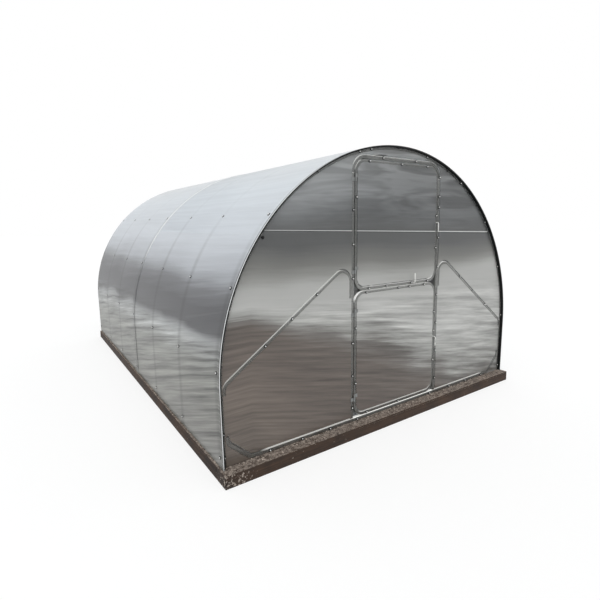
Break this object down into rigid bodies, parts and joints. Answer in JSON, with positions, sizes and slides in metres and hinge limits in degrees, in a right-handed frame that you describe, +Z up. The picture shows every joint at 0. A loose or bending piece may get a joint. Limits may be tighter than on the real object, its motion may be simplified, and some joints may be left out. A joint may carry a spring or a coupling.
{
  "type": "polycarbonate greenhouse",
  "caption": "Arched greenhouse of twin-wall sheet on bent square tube and a timber base, with a two-leaf stable door that opens outwards and turning rod latches.",
  "frame": {"origin": "on the ground at the middle of the plan", "axes": "+Z up, +Y from the door end to the back, +X to the right seen from in front of the door"},
  "size_m": [3.0092, 4.115, 2.1161],
  "materials": {
    "timber": "weathered dark brown, rough",
    "galvanised_tube": "satin galvanised steel",
    "wall_sheet": "clear twin-wall sheet with level flutes",
    "roof_sheet": "clear twin-wall sheet bent over the arches",
    "hinge_steel": "satin zinc-plated steel",
    "zinc_rod": "bright zinc-plated rod"
  },
  "bodies": {
    "house": {"base_front": "timber", "base_back": "timber", "base_left": "timber", "base_right": "timber", "sill_front": "galvanised_tube", "sill_back": "galvanised_tube", "ground_rail_left": "galvanised_tube", "ground_rail_right": "galvanised_tube", "arch_1": "galvanised_tube", "arch_2": "galvanised_tube", "arch_3": "galvanised_tube", "arch_4": "galvanised_tube", "arch_5": "galvanised_tube", "arch_6": "galvanised_tube", "arch_7": "galvanised_tube", "ridge_purlin": "galvanised_tube", "purlin_upper_left": "galvanised_tube", "purlin_upper_right": "galvanised_tube", "purlin_lower_left": "galvanised_tube", "purlin_lower_right": "galvanised_tube", "door_post_left": "galvanised_tube", "door_post_right": "galvanised_tube", "door_header": "galvanised_tube", "back_hoop": "galvanised_tube", "brace_front_left": "galvanised_tube", "brace_front_right": "galvanised_tube", "brace_back_left": "galvanised_tube", "brace_back_right": "galvanised_tube", "front_panel_left": "wall_sheet", "front_panel_right": "wall_sheet", "front_panel_over_door": "wall_sheet", "back_panel": "wall_sheet", "roof_sheet_front": "roof_sheet", "roof_sheet_back": "roof_sheet", "door_hinge_plates": "hinge_steel"},
    "lower_leaf": {"lower_leaf_frame": "galvanised_tube", "lower_leaf_sheet": "wall_sheet", "lower_leaf_hinges": "hinge_steel"},
    "upper_leaf": {"upper_leaf_frame": "galvanised_tube", "upper_leaf_sheet": "wall_sheet", "upper_leaf_hinges": "hinge_steel"},
    "upper_latch": {"upper_latch": "zinc_rod"},
    "middle_latch": {"middle_latch": "zinc_rod"},
    "lower_latch": {"lower_latch": "zinc_rod"},
    "stay_hook": {"stay_hook": "zinc_rod"}
  },
  "joints": [
    {"name": "lower_leaf_hinge", "type": "hinge", "parent": "house", "child": "lower_leaf", "pos_m": [-0.429, -1.9808, 0.5875], "axis": [0, 0, -1], "range_deg": [0, 170]},
    {"name": "upper_leaf_hinge", "type": "hinge", "parent": "house", "child": "upper_leaf", "pos_m": [-0.429, -1.9808, 1.54], "axis": [0, 0, -1], "range_deg": [0, 170]},
    {"name": "upper_latch_turn", "type": "hinge", "parent": "upper_leaf", "child": "upper_latch", "pos_m": [0.463, -1.97, 1.545], "axis": [0, -1, 0], "range_deg": [0, 90]},
    {"name": "middle_latch_turn", "type": "hinge", "parent": "upper_leaf", "child": "middle_latch", "pos_m": [0.19, -1.97, 1.072], "axis": [0, -1, 0], "range_deg": [0, 180]},
    {"name": "lower_latch_turn", "type": "hinge", "parent": "lower_leaf", "child": "lower_latch", "pos_m": [0.463, -1.97, 0.59], "axis": [0, -1, 0], "range_deg": [0, 90]},
    {"name": "stay_hook_swing", "type": "hinge", "parent": "house", "child": "stay_hook", "pos_m": [-0.7, -1.9425, 1.119], "axis": [0, 1, 0], "range_deg": [-90, 90]}
  ]
}
